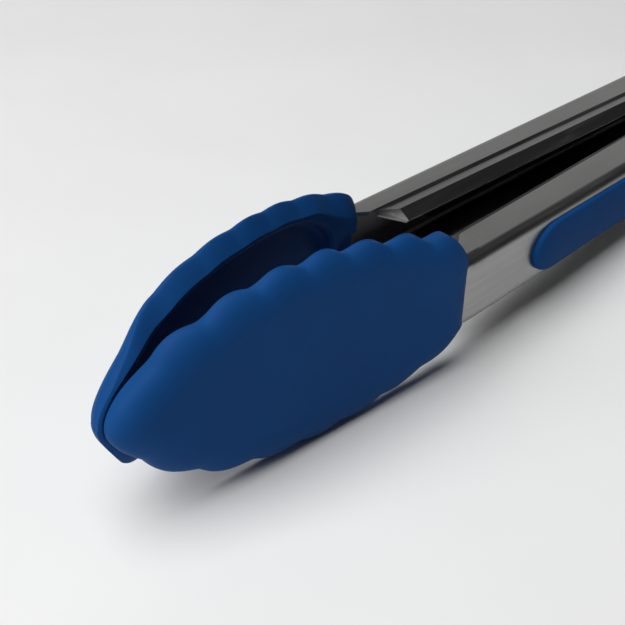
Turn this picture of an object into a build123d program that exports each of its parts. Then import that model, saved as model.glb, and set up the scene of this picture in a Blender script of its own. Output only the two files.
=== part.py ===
"""Spring loaded kitchen tongs, closed and locked, lying on their side.

X runs along the tongs (tips at -X, pull tab at +X), Y across the two arms (near arm -Y, far arm +Y),
Z along the hinge pin. The two arms mirror each other in Y = 0 and everything mirrors in Z = 0.
Stations along the tongs are distances from the tips; x_at() turns one into an X coordinate.
"""
import os
from math import cos, radians, sin

from build123d import *

# stations from the tips
OVERALL = 320.0
HEAD = 82.0
PIVOT = 289.0
ARM_END = 303.0

# pressed steel arms
SHEET = 1.0
ARM_HALF_W = 8.2
BEND = 2.5
LIP_START, LIP_FULL, LIP_END = 84.5, 89.0, 247.0
LIP_GROWTH = 0.017
NARROW_START, NARROW_END = 261.0, 272.0
NESTED_HALF_W = 6.6
EAR_R = 6.5

# silicone heads
SHELL = 2.8
COVER = 1.0
COLLAR_OPEN = 69.5
MOUTH_HALF_W = 5.0
LOBE_R = 7.5
LOBE_OUT = 1.0

# grips
GRIP_FRONT, GRIP_REAR = 103.0, 227.0
GRIP_HALF_W = 6.0
GRIP_RISE = 1.8
WINDOW_HALF_W = 4.0
CARRIER_T = 1.2

# hinge
PIN_R = 2.0
PIN_FIT = 0.08
RIVET_HEAD_R = 4.2
RIVET_HEAD_T = 1.3
WASHER_T = 0.3
WASHER_R = 5.0
SPOOL_R = 3.0
COIL_R = 3.7
WIRE_R = 0.6
COIL_PITCH = 1.32
COIL_TURNS = 3
LEG_ANGLE = 24.3
LEG_LENGTH = 26.0

# lock tab
TRAVEL = 14.0
CHEEK_IN, CHEEK_OUT = 3.3, 4.7
CAM_HALF_W = 11.35
NECK_HALF_W = 5.0
LOOP_AT = 313.5
LOOP_R = 6.5
HOLE_R = 3.8

# (station, y) of a head's outer face and of its rim, then its sections from the tip backwards:
# station, half width, rim y, face y, edge radius
FACE = [(0, 5.5), (8, 6.9), (16, 8.4), (28, 10.2), (45, 12.4), (60, 14.8), (72, 17.05), (82, 18.6)]
RIM = [
    (0, 0.15), (4, 0.3), (8, 1.0), (16, 3.2), (28, 5.1), (45, 7.5), (60, 10.0), (72, 10.8), (78, 10.9),
    (82, 12.2),
]
HEAD_SECTIONS = [
    (0, 2.0, 0.15, 2.6, 1.4), (1.2, 3.6, 0.35, 3.9, 2.2), (4, 6.7, 0.85, 5.6, 3.2), (9, 10.8, 1.95, 7.05, 3.7),
    (16, 15.0, 3.35, 8.4, 3.7), (28, 18.6, 5.1, 10.2, 3.7), (45, 19.8, 7.5, 12.4, 3.7), (60, 17.7, 10.1, 14.8, 3.7),
    (72, 14.2, 11.1, 17.05, 3.7), (78, 11.6, 11.2, 18.0, 3.7), (82, 8.9, 11.4, 18.6, 3.0),
]
# station, half width and rim y at the middle of each scallop
LOBES = [
    (15.2, 14.5, 3.2), (25.2, 17.9, 4.7), (35.8, 19.5, 6.2), (45.6, 19.8, 7.6), (55.4, 18.8, 9.4),
    (66.0, 16.3, 10.6),
]
HOLLOW = [(3.2, 0), (6.5, 5.0), (10, 8.0), (16, 11.4), (28, 14.8), (45, 16.0), (60, 13.9), (66.5, 10.4), (70, 4.5)]
SPOON = [(7.5, 0), (10, 5.4), (16, 10.8), (28, 14.5), (45, 15.7), (60, 13.5), (68, 11.0), (76, 8.6), (84, 8.2)]


def x_at(station):
    return station - OVERALL / 2


def placed(points, side=1, lift=0.0):
    """Station and y pairs as sketch points on one side, lifted by a y offset."""
    return [(x_at(u), side * (y + lift)) for u, y in points]


def back_line(side, lift=0.0):
    """Outer line of an arm's back plate seen along Z, from the neck to the rear end, as one chain."""
    neck = placed([(74, 16.45), (80, 17.33), (86, 17.6), (235, 16.86)], side, lift)
    bow = placed([(235, 16.86), (260, 16.2), (PIVOT, 13.6), (ARM_END, 12.4)], side, lift)
    Line(neck[0], neck[1])
    Spline(neck[1], neck[2], tangents=[(1, side * 0.147), (1, side * -0.005)])
    Line(neck[2], neck[3])
    Spline(*bow, tangents=[(1, side * -0.005), (1, side * -0.085)])


def channel_blank(side, half_width, narrow_half_width, bend, lift=0.0, open_by=0.0):
    """Solid bounded by the back plate, the two flanges' outer faces and the flanges' free edge."""
    centre = (x_at(PIVOT), 0)
    arc_end = (centre[0] + EAR_R * cos(radians(210)), side * (EAR_R * sin(radians(210)) - open_by))
    arc_mid = (centre[0], -side * (EAR_R + open_by))
    arc_start = (centre[0] + EAR_R * cos(radians(-20)), side * (EAR_R * sin(radians(-20)) - open_by))
    with BuildPart() as blank:
        with BuildSketch(Plane.XY.offset(-30)):
            with BuildLine():
                back_line(side, lift)
                rear_low = (x_at(ARM_END), side * (7.5 - open_by))
                Line((x_at(ARM_END), side * (12.4 + lift)), rear_low)
                Spline(rear_low, arc_start, tangents=[(0, -side), (-0.34, -0.94 * side)])
                ThreePointArc(arc_start, arc_mid, arc_end)
                free = placed([(249, 7.6), (235, 7.9), (88, 10.95), (82, 11.05)], side, -open_by)
                Spline(arc_end, free[0], tangents=[(-0.5, 0.866 * side), (-1, 0.02 * side)])
                Polyline(*free, (x_at(76), side * (15.5 - open_by)), (x_at(74), side * (15.45 - open_by)))
                Line((x_at(74), side * (15.45 - open_by)), (x_at(74), side * (16.45 + lift)))
            make_face()
        extrude(amount=60)
        with BuildSketch(Plane.XZ.offset(-40)):
            with BuildLine():
                top = [(70, half_width), (NARROW_START, half_width), (NARROW_END, narrow_half_width),
                       (ARM_END + 1, narrow_half_width)]
                outline = placed(top) + placed([(u, -w) for u, w in reversed(top)])
                if narrow_half_width == half_width:
                    outline = [outline[0], outline[3], outline[4], outline[7]]
                Polyline(*outline, close=True)
            make_face()
            if narrow_half_width != half_width:
                corners = vertices().filter_by_position(Axis.X, x_at(NARROW_START) - 1, x_at(NARROW_END) + 1)
                fillet(corners, radius=25)
        extrude(amount=80, mode=Mode.INTERSECT)
        back = faces().filter_by(lambda f: side * f.normal_at(0.5, 0.5).Y > 0.9)
        long_edges = back.edges().filter_by(lambda e: abs(e.tangent_at(0.5).X) > 0.9)
        fillet(long_edges, radius=bend)
    return blank.part


def lip_section(station, side, end):
    """Outline of the inward step and the inclined lip beyond a flange, in the plane of one station."""
    grow = LIP_GROWTH * (station - HEAD)
    back = 17.6 if station < 100 else 16.8
    share = 0.15 if station < LIP_FULL else 1.0
    outline = [(6.0, 8.2), (6.5, 8.2), (7.1, 7.5), (9.3, 7.5), (12.0, 5.55), (11.4, 4.75), (9.0, 6.5),
               (6.6, 6.5), (6.2, 7.2), (6.0, 7.2)]
    points = [(6.0 + (d - 6.0) * share + (grow if d > 6.0 else 0.0), z) for d, z in outline]
    return [(side * (back - d), end * (7.7 + (z - 7.7) * max(share, 0.5))) for d, z in points]


def lip(side, end):
    with BuildPart() as strip:
        for station in (LIP_START, LIP_FULL, LIP_END):
            with BuildSketch(Plane(origin=(x_at(station), 0, 0), x_dir=(0, 1, 0), z_dir=(1, 0, 0))):
                Polygon(*lip_section(station, side, end), align=None)
        loft(ruled=True)
    return strip.part


def flat_outline(points, width_to=None):
    """Closed curve seen along Y through station and half width pairs, mirrored in Z = 0."""
    upper = placed(points)
    lower = placed([(u, -w) for u, w in points])
    Spline(upper[0], *upper[1:], tangents=[(0, 1), width_to], tangent_scalars=None)
    Spline(lower[0], *lower[1:], tangents=[(0, -1), (width_to[0], -width_to[1])], tangent_scalars=None)
    Line(upper[-1], lower[-1])


def spoon(side):
    """Tongue of the arm that carries the silicone, pierced so that the silicone locks through it."""
    steel = [(u, y - COVER) for u, y in FACE if 5 < u < 70] + [(72, 16.157)]
    with BuildPart() as tongue:
        with BuildSketch(Plane.XY.offset(-30)):
            with BuildLine():
                top = placed([(4, 5.2)] + steel, side)
                low = placed([(4, 5.2)] + steel, side, -SHEET)
                ends = placed([(72, 16.157), (77, 16.89)], side)
                low_ends = placed([(72, 16.157), (77, 16.89)], side, -SHEET)
                Spline(*top)
                Line(*ends)
                Line(ends[1], low_ends[1])
                Line(*reversed(low_ends))
                Spline(*reversed(low))
                Line(low[0], top[0])
            make_face()
        extrude(amount=60)
        with BuildSketch(Plane.XZ.offset(-40)):
            with BuildLine():
                flat_outline(SPOON, (1, 0))
            make_face()
        extrude(amount=80, mode=Mode.INTERSECT)
        with BuildSketch(Plane.XZ.offset(-40)):
            with Locations(*[(x_at(u), 0) for u in (20, 36, 52, 66)]):
                Circle(2.6)
        extrude(amount=80, mode=Mode.SUBTRACT)
    return tongue.part


def grip_outline(shrink, half_width, depth):
    """Solid with a long oval outline seen along Y, reaching through both arms."""
    front, rear = GRIP_FRONT + shrink, GRIP_REAR - shrink
    end = 1.45 * half_width
    with BuildPart() as oval:
        with BuildSketch(Plane.XZ.offset(-depth)):
            with Locations((x_at((front + rear) / 2), 0)):
                Rectangle(rear - front - 2 * end, 2 * half_width)
            with Locations((x_at(front + end), 0), (x_at(rear - end), 0)):
                Ellipse(end, half_width)
        extrude(amount=2 * depth)
    return oval.part


def band(side, low, high):
    """Slab that follows the arm's back plate between two y offsets from its outer face."""
    with BuildPart() as slab:
        with BuildSketch(Plane.XY.offset(-7.5)):
            with BuildLine():
                back_line(side, high)
                Line((x_at(ARM_END), side * (12.4 + high)), (x_at(ARM_END), side * (12.4 + low)))
                back_line(side, low)
                Line((x_at(74), side * (16.45 + low)), (x_at(74), side * (16.45 + high)))
            make_face()
        extrude(amount=15)
    return slab.part


def arm(side, nested, label):
    rear_half = NESTED_HALF_W if nested else ARM_HALF_W
    outer = channel_blank(side, ARM_HALF_W, rear_half, BEND)
    inner = channel_blank(side, ARM_HALF_W - SHEET, rear_half - SHEET, BEND - SHEET, -SHEET, 12.0)
    tongue = spoon(side)
    lips = [lip(side, end) for end in (1, -1)]
    window = grip_outline(7.0, WINDOW_HALF_W, 40)
    keep = band(side, -3.0, 3.0)
    with BuildPart() as body:
        add(outer)
        add(inner, mode=Mode.SUBTRACT)
        add(tongue)
        add(lips)
        add(window & keep, mode=Mode.SUBTRACT)
        with BuildSketch(Plane.XY.offset(-12)):
            with Locations((x_at(PIVOT), 0)):
                Circle(PIN_R + PIN_FIT)
        extrude(amount=24, mode=Mode.SUBTRACT)
    body.part.label = label
    return body.part


def head_slab(high, low):
    """Region between two y lines seen along Z, as wide as a head may need."""
    with BuildPart() as slab:
        with BuildSketch(Plane.XY.offset(-25)):
            with BuildLine():
                top, bottom = placed(high), placed(low)
                Spline(*top)
                Line(top[-1], bottom[-1])
                Spline(*reversed(bottom))
                Line(bottom[0], top[0])
            make_face()
        extrude(amount=50)
    return slab.part


def hollow():
    """Dish-shaped space inside a head, open towards the other head."""
    slab = head_slab([(u, y - SHELL) for u, y in FACE], [(u, y - 4.0) for u, y in RIM])
    with BuildPart() as space:
        with BuildSketch(Plane.XZ.offset(-40)):
            with BuildLine():
                loop = placed(HOLLOW) + placed([(u, -w) for u, w in reversed(HOLLOW[1:])])
                Spline(*loop, periodic=True)
            make_face()
        extrude(amount=80)
        add(slab, mode=Mode.INTERSECT)
        bottom = faces().filter_by(lambda f: f.normal_at(0.5, 0.5).Y > 0.8)
        fillet(bottom.edges(), radius=1.0)
    return space.part


def lobes():
    """Scallops along both long sides of the rim, leaning in towards the outer face."""
    with BuildPart() as rounds:
        for station, half, rim_y in LOBES:
            with Locations(Location((x_at(station), rim_y + 1.25, 0), (-90, 0, 0))):
                with Locations((0, half + LOBE_OUT - LOBE_R), (0, LOBE_R - half - LOBE_OUT)):
                    Cone(LOBE_R + 0.75, LOBE_R - 2.0, 5.5)
    return rounds.part


def head_blank():
    """Smooth body of a head, lofted through its sections from the rounded tip to the square rear end."""
    with BuildPart() as blank:
        for station, half, low, high, edge in HEAD_SECTIONS:
            with BuildSketch(Plane(origin=(x_at(station), 0, 0), x_dir=(0, 1, 0), z_dir=(1, 0, 0))):
                with BuildLine():
                    corner = edge * (1 - cos(radians(45)))
                    right = [(high - edge, half), (high - corner, half - corner), (high, half - edge)]
                    left = [(y, -z) for y, z in reversed(right)]
                    ThreePointArc(*right)
                    Line(right[2], left[0])
                    ThreePointArc(*left)
                    Polyline(left[2], (low - 1, -half), (low - 1, half), right[0])
                make_face()
        loft()
    return blank.part


def head(steel):
    """Silicone head of the far arm: its collar wraps the neck and leaves the arm's channel open."""
    smooth = head_blank()
    scallops = lobes()
    beyond_rim = head_slab([(u, y + 8) for u, y in FACE], RIM)
    space = hollow()
    through = head_slab([(u, y - COVER - SHEET / 2) for u, y in FACE], [(u, y - 4.0) for u, y in RIM])
    with BuildPart(Plane(origin=(x_at(COLLAR_OPEN + 10), 0, 0))) as mouth:
        Box(20, 60, 2 * MOUTH_HALF_W)
    inside = through & mouth.part
    with BuildPart() as body:
        add(smooth)
        add(scallops)
        add(beyond_rim, mode=Mode.INTERSECT)
        add(space, mode=Mode.SUBTRACT)
        add(inside, mode=Mode.SUBTRACT)
        add(steel, mode=Mode.SUBTRACT)
    return body.part


def grip(side, label):
    pad = grip_outline(0.0, GRIP_HALF_W, 40) & band(side, 0.0, GRIP_RISE)
    core = grip_outline(7.0, WINDOW_HALF_W, 40) & band(side, -SHEET, 0.5)
    with BuildPart() as body:
        add(pad)
        crown = faces().filter_by(lambda f: side * f.normal_at(0.5, 0.5).Y > 0.9)
        fillet(crown.edges(), radius=1.2)
        add(core)
    body.part.label = label
    return body.part


def carrier(side, label):
    with BuildPart() as body:
        add(grip_outline(3.0, 5.4, 40) & band(side, -SHEET - CARRIER_T, -SHEET))
    body.part.label = label
    return body.part


def pivot_pin():
    """Rivet through both arms, with the same low head at each end."""
    under_head = ARM_HALF_W + 0.1
    with BuildPart(Plane(origin=(x_at(PIVOT), 0, 0))) as body:
        Cylinder(PIN_R, 2 * under_head)
        for end in (-1, 1):
            with Locations((0, 0, end * (under_head + RIVET_HEAD_T / 2))):
                Cylinder(RIVET_HEAD_R, RIVET_HEAD_T)
        fillet(edges().group_by(Axis.Z)[0] + edges().group_by(Axis.Z)[-1], radius=0.9)
    body.part.label = "pivot_rivet"
    return body.part


def ring(inner, outer, low, high, label):
    with BuildPart() as body:
        with BuildSketch(Plane.XY.offset(low)):
            with Locations((x_at(PIVOT), 0)):
                Circle(outer)
                Circle(inner, mode=Mode.SUBTRACT)
        extrude(amount=high - low)
    body.part.label = label
    return body.part


def spring():
    """Torsion spring round the spool with a leg along the inside of each arm."""
    lean = radians(90 - LEG_ANGLE)
    turns = COIL_TURNS + 2 * lean / radians(360)
    height = turns * COIL_PITCH
    with BuildPart() as body:
        with BuildLine(Plane.XY.offset(-height / 2)) as coil:
            Helix(COIL_PITCH, height, COIL_R)
        with BuildSketch(Plane(coil.line @ 0, z_dir=coil.line % 0)):
            Circle(WIRE_R)
        sweep(is_frenet=True)
    wire = body.part.rotate(Axis.Z, -(90 - LEG_ANGLE))
    with BuildPart() as whole:
        add(wire)
        for end in (-1, 1):
            start = (COIL_R * cos(lean), end * COIL_R * sin(lean), end * height / 2)
            along = (-cos(radians(LEG_ANGLE)), end * sin(radians(LEG_ANGLE)), 0)
            with Locations(start):
                Sphere(WIRE_R)
            with BuildSketch(Plane(origin=start, z_dir=along)):
                Circle(WIRE_R)
            extrude(amount=LEG_LENGTH)
    whole.part.position = (x_at(PIVOT), 0, 0)
    whole.part.label = "torsion_spring"
    return whole.part


def lock_tab():
    """Forked slider with a cam that fills the rear of the closed arms, a pin slot and a hanging loop."""
    with BuildPart() as body:
        with BuildSketch(Plane.XY.offset(-CHEEK_OUT)):
            with BuildLine():
                half = [(282.5, 3.0), (286, 5.5), (291, 6.5), (297, CAM_HALF_W), (301, CAM_HALF_W),
                        (303.6, NECK_HALF_W), (311, NECK_HALF_W)]
                Polyline(*placed(half), *placed([(u, -y) for u, y in reversed(half)]), close=True)
            make_face()
            fillet(vertices(), radius=0.9)
            with Locations((x_at(LOOP_AT), 0)):
                Circle(LOOP_R)
        extrude(amount=2 * CHEEK_OUT)
        rims = faces().filter_by(Axis.Z).edges()
        chamfer(rims, length=0.4)
        with BuildSketch(Plane.XY.offset(-CHEEK_IN)):
            with Locations((x_at(295), 0)):
                Rectangle(2 * (LOOP_AT - LOOP_R + 1.5 - 295), 30)
        extrude(amount=2 * CHEEK_IN, mode=Mode.SUBTRACT)
        with BuildSketch(Plane.XY.offset(-12)):
            with Locations((x_at(PIVOT + TRAVEL / 2), 0)):
                SlotCenterToCenter(TRAVEL, 2 * (PIN_R + 0.1))
        extrude(amount=24, mode=Mode.SUBTRACT)
        with BuildSketch(Plane.XY.offset(-12)):
            with Locations((x_at(LOOP_AT), 0)):
                Circle(HOLE_R)
        extrude(amount=24, mode=Mode.SUBTRACT)
    body.part.label = "lock_tab"
    return body.part


def all_parts():
    steel_near = arm(-1, True, "arm_near")
    steel_far = arm(1, False, "arm_far")
    head_far = head(steel_far)
    head_near = mirror(head_far, about=Plane.XZ)
    head_far.label, head_near.label = "head_far", "head_near"
    washer_low = ARM_HALF_W - SHEET - 0.15 - WASHER_T
    return [
        steel_near,
        steel_far,
        head_near,
        head_far,
        grip(-1, "grip_near"),
        grip(1, "grip_far"),
        carrier(-1, "grip_carrier_near"),
        carrier(1, "grip_carrier_far"),
        pivot_pin(),
        ring(PIN_R + 0.1, WASHER_R, washer_low, washer_low + WASHER_T, "washer_upper"),
        ring(PIN_R + 0.1, WASHER_R, -washer_low - WASHER_T, -washer_low, "washer_lower"),
        ring(PIN_R + 0.05, SPOOL_R, -3.2, 3.2, "spring_spool"),
        spring(),
        lock_tab(),
    ]


os.makedirs("parts", exist_ok=True)
for piece in all_parts():
    export_step(piece, f"parts/{piece.label}.step")
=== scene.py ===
"""Spring loaded kitchen tongs, closed and locked, lying on their side on a pale floor.

Stations are distances along the tongs from the tips, in millimetres; x_at() turns one into X.
The far arm is on +Y and the near arm on -Y, and the hinge rivet runs along Z.
"""

from math import cos, pi, radians, sin

import bmesh
import bpy
import numpy as np
from mathutils import Matrix, Vector


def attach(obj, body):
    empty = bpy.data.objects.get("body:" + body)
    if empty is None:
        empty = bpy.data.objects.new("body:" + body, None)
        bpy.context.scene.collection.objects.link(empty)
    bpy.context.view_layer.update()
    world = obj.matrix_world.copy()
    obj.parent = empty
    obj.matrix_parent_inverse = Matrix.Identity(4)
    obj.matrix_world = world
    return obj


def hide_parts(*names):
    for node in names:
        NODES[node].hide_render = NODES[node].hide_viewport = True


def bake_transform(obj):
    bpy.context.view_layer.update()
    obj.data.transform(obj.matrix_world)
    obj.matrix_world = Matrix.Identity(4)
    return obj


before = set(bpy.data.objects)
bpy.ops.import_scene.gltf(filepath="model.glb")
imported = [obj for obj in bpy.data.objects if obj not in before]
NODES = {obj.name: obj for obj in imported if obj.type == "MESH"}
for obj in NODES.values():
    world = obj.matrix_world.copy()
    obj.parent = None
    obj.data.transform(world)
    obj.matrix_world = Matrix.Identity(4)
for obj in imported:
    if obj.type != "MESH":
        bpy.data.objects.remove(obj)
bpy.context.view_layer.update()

MM = 0.001
OVERALL = 320.0
PIVOT = 289.0
FAR, NEAR = 1, -1

# ---------------------------------------------------------------- shape tables, millimetres

# Silicone head, (station, distance): outer face and rim from the middle plane, plan outline, dish outline.
FACE = [(0, 5.5), (8, 6.9), (16, 8.4), (28, 10.2), (45, 12.4), (60, 14.8), (72, 17.05), (82, 18.6)]
RIM = [(0, 0.15), (4, 0.3), (8, 1.0), (16, 3.2), (28, 5.1), (45, 7.5), (60, 10.0), (72, 10.8), (78, 10.9),
       (82, 12.2)]
OUTLINE = [(0, 0), (0.6, 2.5), (3, 5.8), (8, 10.2), (16, 15.3), (28, 18.9), (45, 20.0), (60, 18.0),
           (72, 14.8), (78.5, 12.0), (82, 8.4)]
HOLLOW = [(3.2, 0), (6.5, 5.0), (10, 8.0), (16, 11.4), (28, 14.8), (45, 16.0), (60, 13.9), (66.5, 10.6),
          (70.4, 6.0)]
HEAD_LENGTH = 82.0
REAR_FLAT = 4.0
HEAD_CENTRE = 42.0
HEAD_POINTS = 560
FACE_SPINE = (17, 70)
DISH_SPINE = (17, 58)
PLAN_SOFT, PLAN_NORMAL_SOFT = 0.9, 2.2
DISH_SOFT, DISH_NORMAL_SOFT = 1.2, 3.0
SHELL = 2.8

# Valleys between the scallops along the upper and the lower edge, and how the scallops fade over the section.
VALLEYS = [8.4, 18.8, 29.6, 40.1, 49.8, 60.0, 70.8, 81.8]
VALLEYS_LOW = [5.2, 15.9, 27.6, 38.5, 49.2, 59.6, 70.1, 81.0]
LOBE_HEIGHT = {FAR: 0.35, NEAR: 0.95}
VALLEY_SOFTNESS = 0.03
TIP_OUT = {FAR: 0.2, NEAR: -0.3}
CORNER_OUT, CORNER_AT, CORNER_SPAN = 2.5, 7.0, 4.5
WALL_SHARE = 0.8
RIM_SHARE = 0.35

# Roundings of the head's section.
EDGE_INSET = 6.5
EDGE_DROP = 3.9
MOST_OF_WALL = 0.85
TIP_ROUNDING = 0.4
RIM_ROUNDING = {FAR: (3.0, 2.8), NEAR: (0.9, 0.9)}
RIM_GROWS_FROM, RIM_GROWS_OVER = 3, 14
HEEL_ROUNDING, HEEL_FROM, HEEL_OVER = 1.6, 66, 8
RIM_INNER_R = 0.6
SHARP_ANGLE = 38
BOWL_R = 4.5
BOWL_DRAFT = 0.4

# Mouth of the collar round the arm's neck.
COLLAR_OPEN = 71.4
MOUTH = [(20, 5), (2.2, 5), (0.6, 4.3), (0, 3)]
MOUTH_DEPTH = (-5.0, 15.8)

# Outside of an arm's back plate, and the soft grip on it.
BACK = [(74, 16.45), (80, 17.33), (86, 17.6), (130, 17.38), (180, 17.13), (235, 16.86), (260, 16.2),
        (289, 13.6), (303, 12.4)]
GRIP_FRONT, GRIP_REAR = 104.0, 227.0
GRIP_HALF_W = 5.85
GRIP_END = 1.45 * GRIP_HALF_W
GRIP_POINTS = 220
GRIP_SEATED = (-0.45, 0.1, 0.35)
GRIP_SHOULDER_W, GRIP_SHOULDER_H = 1.15, 0.85
GRIP_RISE = 1.8

COIL_R = 3.7
WIRE_R = 0.6
COIL_PITCH = 1.32
COIL_TURNS = 3
LEG_ANGLE = 24.3
LEG_LENGTH = 26.0
WIRE_POINTS = 14
WIRE_TIP_OUT, WIRE_TIP_SHARE = 0.25, 0.55


def x_at(station):
    return station - OVERALL / 2


# ---------------------------------------------------------------- curves

def through(table):
    """Smooth function through (station, value) pairs."""
    xs, ys = (np.array(v, float) for v in zip(*table))
    slope = np.gradient(ys, xs)

    def value(x):
        x = np.clip(np.asarray(x, float), xs[0], xs[-1])
        k = np.clip(np.searchsorted(xs, x) - 1, 0, len(xs) - 2)
        h = xs[k + 1] - xs[k]
        t = (x - xs[k]) / h
        a, b = ys[k], ys[k + 1]
        return (a * (1 + 2 * t) * (1 - t) ** 2 + b * t * t * (3 - 2 * t)
                + h * (slope[k] * t * (1 - t) ** 2 - slope[k + 1] * t * t * (1 - t)))
    return value


face_y, rim_y, back_y = through(FACE), through(RIM), through(BACK)


def closed_spline(points, per_span=40):
    """Dense closed centripetal spline through points."""
    p = np.array(points, float)
    n = len(p)
    out = []
    for i in range(n):
        a, b, c, d = (p[(i + k) % n] for k in (-1, 0, 1, 2))
        t0, t1 = 0.0, np.linalg.norm(b - a) ** 0.5
        t2 = t1 + np.linalg.norm(c - b) ** 0.5
        t3 = t2 + np.linalg.norm(d - c) ** 0.5
        for t in np.linspace(t1, t2, per_span, endpoint=False):
            a1 = a * (t1 - t) / (t1 - t0) + b * (t - t0) / (t1 - t0)
            a2 = b * (t2 - t) / (t2 - t1) + c * (t - t1) / (t2 - t1)
            a3 = c * (t3 - t) / (t3 - t2) + d * (t - t2) / (t3 - t2)
            b1 = a1 * (t2 - t) / (t2 - t0) + a2 * (t - t0) / (t2 - t0)
            b2 = a2 * (t3 - t) / (t3 - t1) + a3 * (t - t1) / (t3 - t1)
            out.append(b1 * (t2 - t) / (t2 - t1) + b2 * (t - t1) / (t2 - t1))
    return np.array(out)


def even(loop, count):
    """Closed loop resampled at equal distances."""
    ring = np.vstack([loop, loop[:1]])
    s = np.concatenate([[0], np.cumsum(np.linalg.norm(np.diff(ring, axis=0), axis=1))])
    t = np.linspace(0, s[-1], count, endpoint=False)
    return np.stack([np.interp(t, s, ring[:, k]) for k in range(ring.shape[1])], 1)


def soften(loop, sigma, spacing):
    """Closed loop of values averaged over a distance."""
    reach = int(3 * sigma / spacing) + 1
    k = np.arange(-reach, reach + 1) * spacing
    w = np.exp(-0.5 * (k / sigma) ** 2)
    w /= w.sum()
    return sum(wi * np.roll(loop, -i, axis=0) for wi, i in zip(w, range(-reach, reach + 1)))


def inward(loop, sigma, spacing):
    """Unit vectors pointing into a closed loop, softened along it."""
    tangent = np.roll(loop, -1, axis=0) - np.roll(loop, 1, axis=0)
    normal = np.stack([-tangent[:, 1], tangent[:, 0]], 1)
    centre = loop.mean(0)
    if ((centre - loop) * normal).sum() < 0:
        normal = -normal
    normal = normal / np.linalg.norm(normal, axis=1, keepdims=True)
    normal = soften(normal, sigma, spacing)
    return normal / np.linalg.norm(normal, axis=1, keepdims=True)


# ---------------------------------------------------------------- mesh helpers

def new_object(name, verts, faces, smooth=True):
    mesh = bpy.data.meshes.new(name)
    mesh.from_pydata([tuple(v) for v in verts], [], faces)
    mesh.validate()
    obj = bpy.data.objects.new(name, mesh)
    bpy.context.scene.collection.objects.link(obj)
    if smooth:
        mesh.polygons.foreach_set("use_smooth", [True] * len(mesh.polygons))
    return obj


def merge(obj, distance=1e-6):
    """Joins vertices closer than a distance in metres and turns the faces outward."""
    bm = bmesh.new()
    bm.from_mesh(obj.data)
    bmesh.ops.remove_doubles(bm, verts=bm.verts, dist=distance)
    bmesh.ops.dissolve_degenerate(bm, edges=bm.edges, dist=distance / 4)
    bmesh.ops.recalc_face_normals(bm, faces=bm.faces)
    bm.to_mesh(obj.data)
    bm.free()


def skin(rows, cap_first=False, cap_last=False):
    """Faces between closed rows of equal length, numbered row by row."""
    n = len(rows[0])
    faces = [(r * n + i, r * n + (i + 1) % n, (r + 1) * n + (i + 1) % n, (r + 1) * n + i)
             for r in range(len(rows) - 1) for i in range(n)]
    if cap_first:
        faces.append(tuple(range(n)))
    if cap_last:
        faces.append(tuple((len(rows) - 1) * n + i for i in range(n)))
    return faces


def apply_modifier(obj, kind, **settings):
    m = obj.modifiers.new(kind.title(), kind)
    for key, value in settings.items():
        setattr(m, key, value)
    with bpy.context.temp_override(object=obj, active_object=obj, selected_objects=[obj]):
        bpy.ops.object.modifier_apply(modifier=m.name)


def sharpen(obj, angle):
    """Edges that bend by more than an angle in degrees are shaded sharp."""
    obj.data.set_sharp_from_angle(angle=radians(angle))


# ---------------------------------------------------------------- silicone heads

def scallops(plan, side):
    """How far the edge stands out of the plain outline, in millimetres: lobes, valleys and the tip."""
    out = np.zeros(len(plan))
    height, tip = LOBE_HEIGHT[side], TIP_OUT[side]
    for valleys, here in ((VALLEYS, plan[:, 1] >= 0), (VALLEYS_LOW, plan[:, 1] < 0)):
        u = plan[here, 0]
        k = np.clip(np.searchsorted(valleys, u), 1, len(valleys) - 1)
        low, high = np.array(valleys)[k - 1], np.array(valleys)[k]
        arch = np.sin(pi * (u - low) / (high - low)) ** 2
        wave = height * (2 * np.sqrt((arch + VALLEY_SOFTNESS) / (1 + VALLEY_SOFTNESS)) - 1)
        t = np.clip(1 - u / valleys[0], 0, 1)
        deep = height * (2 * np.sqrt(VALLEY_SOFTNESS / (1 + VALLEY_SOFTNESS)) - 1)
        out[here] = np.where(u > valleys[0], wave, deep + (tip - deep) * t * t * (3 - 2 * t))
    if side == FAR:
        bump = CORNER_OUT * np.exp(-((plan[:, 0] - CORNER_AT) / CORNER_SPAN) ** 2)
        out += np.where(plan[:, 1] < 0, bump, 0)
    return out


def head_plan():
    """Plan outline of the head and of its dish, point by point, each with its inward directions."""
    upper = OUTLINE[1:]
    rear = [(HEAD_LENGTH, REAR_FLAT), (HEAD_LENGTH, -REAR_FLAT)]
    points = [OUTLINE[0]] + upper + rear + [(u, -z) for u, z in reversed(upper)]
    loop = even(closed_spline(points), HEAD_POINTS)
    spacing = np.linalg.norm(loop[1] - loop[0])
    loop = soften(loop, PLAN_SOFT, spacing)
    loop[:, 0] = np.minimum(loop[:, 0], HEAD_LENGTH)
    into = inward(loop, PLAN_NORMAL_SOFT, spacing)
    bowl = closed_spline(HOLLOW + [(u, -z) for u, z in reversed(HOLLOW[1:])])
    angle = np.unwrap(np.arctan2(loop[:, 1], HEAD_CENTRE - loop[:, 0]))
    bowl_angle = np.arctan2(bowl[:, 1], HEAD_CENTRE - bowl[:, 0])
    order = np.argsort(bowl_angle)
    bowl, bowl_angle = bowl[order], bowl_angle[order]
    wrapped = (angle + pi) % (2 * pi) - pi
    inner = np.stack([np.interp(wrapped, bowl_angle, bowl[:, k], period=2 * pi) for k in (0, 1)], 1)
    inner = soften(inner, DISH_SOFT, spacing)
    return loop, into, inner, inward(inner, DISH_NORMAL_SOFT, spacing)


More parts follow.
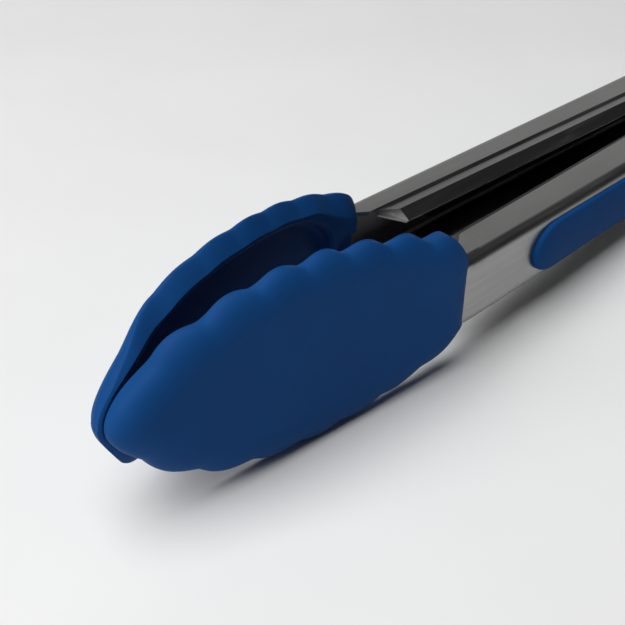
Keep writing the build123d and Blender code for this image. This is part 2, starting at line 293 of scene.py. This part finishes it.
def head_mesh(name, side):
    """Closed silicone shell: outer face, rounded edge, scalloped wall, rim, bowl and floor."""
    loop, into, inner, bowl_in = head_plan()
    crest = scallops(loop, side)
    grown = np.clip((loop[:, 0] - RIM_GROWS_FROM) / RIM_GROWS_OVER, 0, 1)
    round_h, round_w = (TIP_ROUNDING + (size - TIP_ROUNDING) * grown for size in RIM_ROUNDING[side])
    if side == FAR:
        round_w = round_w + HEEL_ROUNDING * np.clip((loop[:, 0] - HEEL_FROM) / HEEL_OVER, 0, 1)

    rows = []

    def row(plan, y):
        rows.append(np.stack([x_at(plan[:, 0]), np.broadcast_to(y, len(plan)), plan[:, 1]], 1))

    # Outer face, from its middle line to the edge rounding.
    drop = np.minimum(EDGE_DROP, (face_y(loop[:, 0]) - rim_y(loop[:, 0]) - round_h) * MOST_OF_WALL)
    edge = loop + into * EDGE_INSET
    spine = np.stack([np.clip(edge[:, 0], *FACE_SPINE), edge[:, 1] * 0], 1)
    for t in np.linspace(0, 1, 16)[:-1] ** 0.8:
        plan = spine + (edge - spine) * t
        row(plan, face_y(plan[:, 0]))

    # Edge rounding, wall and rim rounding, all scalloped.
    for a in np.linspace(90, 0, 16):
        weight = WALL_SHARE * (1 - a / 90) ** 1.3
        plan = loop + into * EDGE_INSET * (1 - cos(radians(a)))
        row(plan - into * (crest * weight)[:, None], face_y(plan[:, 0]) - drop * (1 - sin(radians(a))))
    wall_top = face_y(loop[:, 0]) - drop
    wall_low = rim_y(loop[:, 0]) + round_h
    for t in np.linspace(0, 1, 16)[1:]:
        weight = WALL_SHARE + (1 - WALL_SHARE) * t * t * (3 - 2 * t)
        plan = loop - into * (crest * weight)[:, None]
        row(plan, wall_top + (wall_low - wall_top) * t)
    for t in np.linspace(0, 1, 10)[1:]:
        across = t ** 1.15
        plan = loop + into * (round_w * across - crest * (1 - (1 - RIM_SHARE) * across))[:, None]
        row(plan, rim_y(plan[:, 0]) + round_h * (1 - t))

    # Rim, and its rounding into the dish.
    start = plan
    stop = inner - bowl_in * RIM_INNER_R
    for t in np.linspace(0, 1, 9)[1:]:
        plan = start + (stop - start) * t
        row(plan, rim_y(plan[:, 0]))
    for a in np.linspace(90, 0, 6)[1:]:
        plan = inner - bowl_in * RIM_INNER_R * (1 - cos(radians(a)))
        row(plan, rim_y(plan[:, 0]) + RIM_INNER_R * (1 - sin(radians(a))))

    # Wall and floor of the dish.
    floor_y = face_y(inner[:, 0]) - SHELL
    lip = rim_y(inner[:, 0]) + RIM_INNER_R
    bend = np.minimum(BOWL_R, (floor_y - lip) * MOST_OF_WALL)
    for t in np.linspace(0, 1, 6)[1:]:
        row(inner + bowl_in * BOWL_DRAFT * t, lip + (floor_y - bend - lip) * t)
    for a in np.linspace(0, 90, 12)[1:]:
        plan = inner + bowl_in * (BOWL_DRAFT + bend * (1 - cos(radians(a))))[:, None]
        row(plan, face_y(plan[:, 0]) - SHELL - bend * (1 - sin(radians(a))))
    last = inner + bowl_in * (BOWL_DRAFT + bend)[:, None]
    spine = np.stack([np.clip(last[:, 0], *DISH_SPINE), last[:, 1] * 0], 1)
    for t in np.linspace(1, 0, 16)[1:]:
        plan = spine + (last - spine) * t
        row(plan, face_y(plan[:, 0]) - SHELL)

    rows[0][:, 2] = 0
    obj = new_object(name, np.vstack(rows) * MM, skin(rows))
    merge(obj, 2e-6)
    return obj


def notch_tool():
    """Space inside the collar, where the arm's open channel leaves the head."""
    lower = [(x_at(COLLAR_OPEN + back), -z) for back, z in MOUTH]
    outline = lower + [(x, -z) for x, z in reversed(lower)]
    n = len(outline)
    verts = [(x * MM, y * MM, z * MM) for y in MOUTH_DEPTH for x, z in outline]
    sides = [(i, (i + 1) % n, n + (i + 1) % n, n + i) for i in range(n)]
    faces = [tuple(range(n)), tuple(range(n, 2 * n))] + sides
    obj = new_object("notch_tool", verts, faces, smooth=False)
    merge(obj)
    return obj


def head(side, name, body, node):
    obj = head_mesh(name, side)
    tool = notch_tool()
    apply_modifier(obj, "BOOLEAN", operation="DIFFERENCE", solver="EXACT", object=tool)
    bpy.data.objects.remove(tool)
    if side == NEAR:
        obj.data.transform(Matrix.Scale(-1, 4, (0, 1, 0)))
        obj.data.flip_normals()
    sharpen(obj, SHARP_ANGLE)
    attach(obj, body)
    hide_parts(node)
    return obj


# ---------------------------------------------------------------- soft grips

def grip(side, name, body, node):
    """Crowned oval pad seated on the arm's back plate."""
    flat = (GRIP_REAR - GRIP_FRONT) / 2 - GRIP_END
    turn = np.linspace(0, 2 * pi, 720, endpoint=False)
    along = (GRIP_FRONT + GRIP_REAR) / 2 + np.sign(np.cos(turn)) * flat + GRIP_END * np.cos(turn)
    outline = even(np.stack([along, GRIP_HALF_W * np.sin(turn)], 1), GRIP_POINTS)
    spacing = np.linalg.norm(outline[1] - outline[0])
    into = inward(outline, 1.0, spacing)
    rows = []

    def row(plan, lift):
        rows.append(np.stack([x_at(plan[:, 0]), side * (back_y(plan[:, 0]) + lift), plan[:, 1]], 1))

    for lift in GRIP_SEATED:
        row(outline, lift)
    for a in np.linspace(0, 90, 9)[1:]:
        plan = outline + into * GRIP_SHOULDER_W * (1 - cos(radians(a)))
        row(plan, GRIP_SEATED[-1] + GRIP_SHOULDER_H * sin(radians(a)))
    top = outline + into * GRIP_SHOULDER_W
    crown = GRIP_SEATED[-1] + GRIP_SHOULDER_H
    spine = np.stack([np.clip(top[:, 0], GRIP_FRONT + GRIP_END, GRIP_REAR - GRIP_END), top[:, 1] * 0], 1)
    for t in np.linspace(1, 0, 12)[1:]:
        row(spine + (top - spine) * t, crown + (GRIP_RISE - crown) * (1 - t * t))
    obj = new_object(name, np.vstack(rows) * MM, skin(rows, cap_first=True))
    merge(obj, 2e-6)
    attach(obj, body)
    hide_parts(node)
    return obj


# ---------------------------------------------------------------- torsion spring

def spring_wire(end, name):
    """Half of the coil and the leg that bears on one arm."""
    lean = radians(90 - LEG_ANGLE)
    turns = COIL_TURNS + 2 * lean / (2 * pi)
    height = turns * COIL_PITCH
    path = []
    for t in np.linspace(0, 0.5, 130):
        a = end * pi * turns * (2 * t)
        path.append((COIL_R * cos(a), COIL_R * sin(a), end * height * t))
    start = Vector(path[-1])
    along = Vector((-cos(radians(LEG_ANGLE)), end * sin(radians(LEG_ANGLE)), 0))
    path += [tuple(start + along * d) for d in np.linspace(0.4, LEG_LENGTH, 40)]
    path = np.array(path) + [x_at(PIVOT), 0, 0]
    tangent = np.gradient(path, axis=0)
    tangent /= np.linalg.norm(tangent, axis=1, keepdims=True)
    side = np.cross(tangent, [0, 0, 1.0])
    side /= np.linalg.norm(side, axis=1, keepdims=True)
    up = np.cross(side, tangent)
    rows = []
    for p, s, w in zip(path, side, up):
        turn = np.linspace(0, 2 * pi, WIRE_POINTS, endpoint=False)
        rows.append(np.array([p + WIRE_R * (s * cos(a) + w * sin(a)) for a in turn]))
    tip = path[-1] + tangent[-1] * WIRE_TIP_OUT
    rows.append(np.array([tip + WIRE_TIP_SHARE * (q - path[-1]) for q in rows[-1]]))
    obj = new_object(name, np.vstack(rows) * MM, skin(rows, cap_first=True, cap_last=True))
    merge(obj)
    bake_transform(obj)
    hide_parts("torsion_spring")
    return obj


# ---------------------------------------------------------------- materials

def material(name):
    m = bpy.data.materials.new(name)
    m.use_nodes = True
    tree = m.node_tree
    tree.nodes.clear()
    out = tree.nodes.new("ShaderNodeOutputMaterial")
    bsdf = tree.nodes.new("ShaderNodeBsdfPrincipled")
    tree.links.new(bsdf.outputs["BSDF"], out.inputs["Surface"])
    return m, tree, bsdf


def node(tree, kind, inputs=None, **attributes):
    n = tree.nodes.new(kind)
    for key, value in attributes.items():
        setattr(n, key, value)
    for key, value in (inputs or {}).items():
        if isinstance(value, bpy.types.NodeSocket):
            tree.links.new(value, n.inputs[key])
        else:
            n.inputs[key].default_value = value
    return n


def stretched(tree, scale):
    """Object coordinates scaled along each axis."""
    where = node(tree, "ShaderNodeTexCoord").outputs["Object"]
    return node(tree, "ShaderNodeMapping", {"Vector": where, "Scale": scale}).outputs["Vector"]


def noise(tree, stretch, scale, detail, roughness=0.5):
    """Noise from 0 to 1 in stretched object coordinates."""
    where = stretched(tree, stretch)
    n = node(tree, "ShaderNodeTexNoise", {"Vector": where, "Scale": scale, "Detail": detail,
                                          "Roughness": roughness})
    return n.outputs["Fac"]


def bumps(tree, bsdf, height, strength, distance):
    """Surface relief from a height, its distance in metres."""
    bump = node(tree, "ShaderNodeBump", {"Strength": strength, "Distance": distance, "Height": height})
    tree.links.new(bump.outputs["Normal"], bsdf.inputs["Normal"])


def ramp(tree, factor, stops):
    """Colour ramp over a factor, from (position, colour) stops."""
    n = node(tree, "ShaderNodeValToRGB", {"Fac": factor})
    ends = n.color_ramp.elements
    while len(ends) < len(stops):
        ends.new(0.5)
    for element, (position, colour) in zip(ends, stops):
        element.position = position
        element.color = (*colour, 1) if len(colour) == 3 else colour
    return n.outputs["Color"]


def grey(value):
    return (value, value, value)


def silicone(name, base, light, shine):
    """Matte moulded silicone with faint clouding and a fine grain."""
    m, tree, bsdf = material(name)
    broad = noise(tree, (1, 1, 1), 55.0, 4.0, 0.55)
    fine = noise(tree, (1, 1, 1), 3800.0, 3.0, 0.6)
    colour = ramp(tree, broad, [(0.35, base), (0.7, light)])
    tree.links.new(colour, bsdf.inputs["Base Color"])
    sheen = ramp(tree, broad, [(0.3, grey(0.46)), (0.7, grey(0.55))])
    tree.links.new(sheen, bsdf.inputs["Roughness"])
    bumps(tree, bsdf, fine, 0.12, 0.00006)
    bsdf.inputs["IOR"].default_value = 1.4
    bsdf.inputs["Specular IOR Level"].default_value = shine
    return m


def steel(name, base, rough, scale=(30, 900, 900)):
    """Satin pressed steel with fine lines drawn along one axis and faint smears."""
    m, tree, bsdf = material(name)
    lines = noise(tree, scale, 1.0, 5.0, 0.65)
    smear = noise(tree, (1, 2.5, 2.5), 30.0, 3.0)
    dark, light = (tuple(c * share for c in base) for share in (0.9, 1.08))
    shade = ramp(tree, lines, [(0.3, dark), (0.7, light)])
    tree.links.new(shade, bsdf.inputs["Base Color"])
    low, high = rough
    mixed = node(tree, "ShaderNodeMath", {0: lines, 1: smear}, operation="MULTIPLY")
    rougher = node(tree, "ShaderNodeMapRange", {"Value": mixed.outputs[0], "From Min": 0.12, "From Max": 0.4,
                                                "To Min": low, "To Max": high})
    tree.links.new(rougher.outputs["Result"], bsdf.inputs["Roughness"])
    bumps(tree, bsdf, lines, 0.25, 0.00001)
    bsdf.inputs["Metallic"].default_value = 1.0
    bsdf.inputs["Anisotropic"].default_value = 0.4
    return m


def nylon(name, base, light, rough=0.45):
    """Moulded nylon with a fine spark-eroded texture."""
    m, tree, bsdf = material(name)
    grain = node(tree, "ShaderNodeTexVoronoi", {"Vector": stretched(tree, (1, 1, 1)), "Scale": 2200.0})
    cloud = noise(tree, (1, 1, 1), 160.0, 3.0)
    colour = ramp(tree, cloud, [(0.3, base), (0.75, light)])
    tree.links.new(colour, bsdf.inputs["Base Color"])
    sheen = ramp(tree, cloud, [(0.3, grey(rough - 0.05)), (0.7, grey(rough + 0.08))])
    tree.links.new(sheen, bsdf.inputs["Roughness"])
    bumps(tree, bsdf, grain.outputs["Distance"], 0.35, 0.00003)
    bsdf.inputs["IOR"].default_value = 1.53
    return m


def paint(obj, m):
    obj.data.materials.clear()
    obj.data.materials.append(m)


blue = silicone("head_silicone", (0.0064, 0.0555, 0.198), (0.008, 0.0635, 0.222), shine=0.06)
blue_grip = silicone("soft_grip", (0.0062, 0.054, 0.192), (0.0078, 0.062, 0.215), shine=0.03)
arm_metal = steel("satin_arm_steel", (0.31, 0.308, 0.305), rough=(0.27, 0.4))
rivet_metal = steel("turned_rivet_steel", (0.52, 0.52, 0.51), rough=(0.18, 0.3), scale=(700, 700, 90))
wire_metal = steel("bright_spring_wire", (0.5, 0.5, 0.5), rough=(0.14, 0.24), scale=(500, 500, 500))
black_nylon = nylon("black_nylon", (0.016, 0.016, 0.018), (0.026, 0.026, 0.028))
carrier_nylon = nylon("carrier_nylon", (0.012, 0.012, 0.013), (0.02, 0.02, 0.021), rough=0.55)
pale_nylon = nylon("natural_nylon", (0.56, 0.55, 0.5), (0.66, 0.65, 0.6))

paint(head(FAR, "silicone_head_far", "far_arm", "head_far"), blue)
paint(head(NEAR, "silicone_head_near", "near_arm", "head_near"), blue)
paint(grip(FAR, "soft_grip_far", "far_arm", "grip_far"), blue_grip)
paint(grip(NEAR, "soft_grip_near", "near_arm", "grip_near"), blue_grip)
paint(spring_wire(FAR, "spring_wire_far"), wire_metal)
paint(spring_wire(NEAR, "spring_wire_near"), wire_metal)
for part, finish in (("arm_near", arm_metal), ("arm_far", arm_metal),
                     ("grip_carrier_near", carrier_nylon), ("grip_carrier_far", carrier_nylon),
                     ("pivot_rivet", rivet_metal), ("spring_spool", black_nylon), ("lock_tab", black_nylon),
                     ("washer_upper", pale_nylon), ("washer_lower", pale_nylon)):
    paint(NODES[part], finish)


# ---------------------------------------------------------------- floor, light, camera

FLOOR_HALF = 3.0
FLOOR_TILT = 0.0663
FLOOR_TOUCH = (-115.0, -20.85)


def floor():
    """Plane that the heads' lower edges and the hinge end rest on, tilted because they differ in width."""
    at, height = (value * MM for value in FLOOR_TOUCH)
    corners = [(dx * FLOOR_HALF, dy * FLOOR_HALF) for dx, dy in ((-1, -1), (1, -1), (1, 1), (-1, 1))]
    verts = [(at + dx, dy, height + FLOOR_TILT * dx) for dx, dy in corners]
    obj = new_object("studio_floor", verts, [(0, 1, 2, 3)], smooth=False)
    m, tree, bsdf = material("studio_paper")
    cloud = noise(tree, (1, 1, 1), 14.0, 5.0)
    colour = ramp(tree, cloud, [(0.3, (0.80, 0.803, 0.80)), (0.75, (0.84, 0.842, 0.84))])
    tree.links.new(colour, bsdf.inputs["Base Color"])
    bsdf.inputs["Roughness"].default_value = 0.7
    paint(obj, m)


def area_light(name, at, aim, size, watts):
    light = bpy.data.lights.new(name, "AREA")
    light.shape = "RECTANGLE"
    light.size, light.size_y = size
    light.energy = watts
    obj = bpy.data.objects.new(name, light)
    bpy.context.scene.collection.objects.link(obj)
    obj.location = at
    obj.rotation_euler = (Vector(aim) - Vector(at)).to_track_quat("-Z", "Y").to_euler()


def surroundings(brightness):
    world = bpy.data.worlds.new("studio")
    bpy.context.scene.world = world
    world.use_nodes = True
    background = world.node_tree.nodes["Background"]
    background.inputs["Color"].default_value = (*grey(brightness), 1)
    background.inputs["Strength"].default_value = 1.0


AIM_X, AIM_RAISED = -107.64, 0.34
AZIMUTH, ELEVATION, ROLL = -47.665, 32.487, 1.617
DISTANCE = 215.2
LENS, SENSOR = 62.23, 36


def camera():
    """Camera close to the tips, looking back along the tongs, slightly rolled."""
    azimuth, elevation, roll = radians(AZIMUTH), radians(ELEVATION), radians(ROLL)
    back = Vector((sin(azimuth) * cos(elevation), -cos(azimuth) * cos(elevation), sin(elevation)))
    right = Vector((cos(azimuth), sin(azimuth), 0))
    up = back.cross(right)
    right, up = right * cos(roll) + up * sin(roll), up * cos(roll) - right * sin(roll)
    at = Vector((AIM_X, 0, 0)) + up * AIM_RAISED + back * DISTANCE
    data = bpy.data.cameras.new("camera")
    data.lens = LENS
    data.sensor_width = SENSOR
    data.clip_start, data.clip_end = 0.01, 20
    obj = bpy.data.objects.new("camera", data)
    bpy.context.scene.collection.objects.link(obj)
    m = Matrix((right, up, back)).transposed().to_4x4()
    m.translation = at * MM
    obj.matrix_world = m
    bpy.context.scene.camera = obj


floor()
surroundings(brightness=0.036)
area_light("overhead_softbox", at=(-0.66, 0.14, 0.86), aim=(-0.15, 0, 0), size=(0.9, 1.5), watts=17.4)
area_light("side_panel", at=(0.9, 0.9, 0.5), aim=(0, 0, 0), size=(1.2, 0.8), watts=1.4)
camera()
bpy.context.scene.view_settings.view_transform = "Standard"
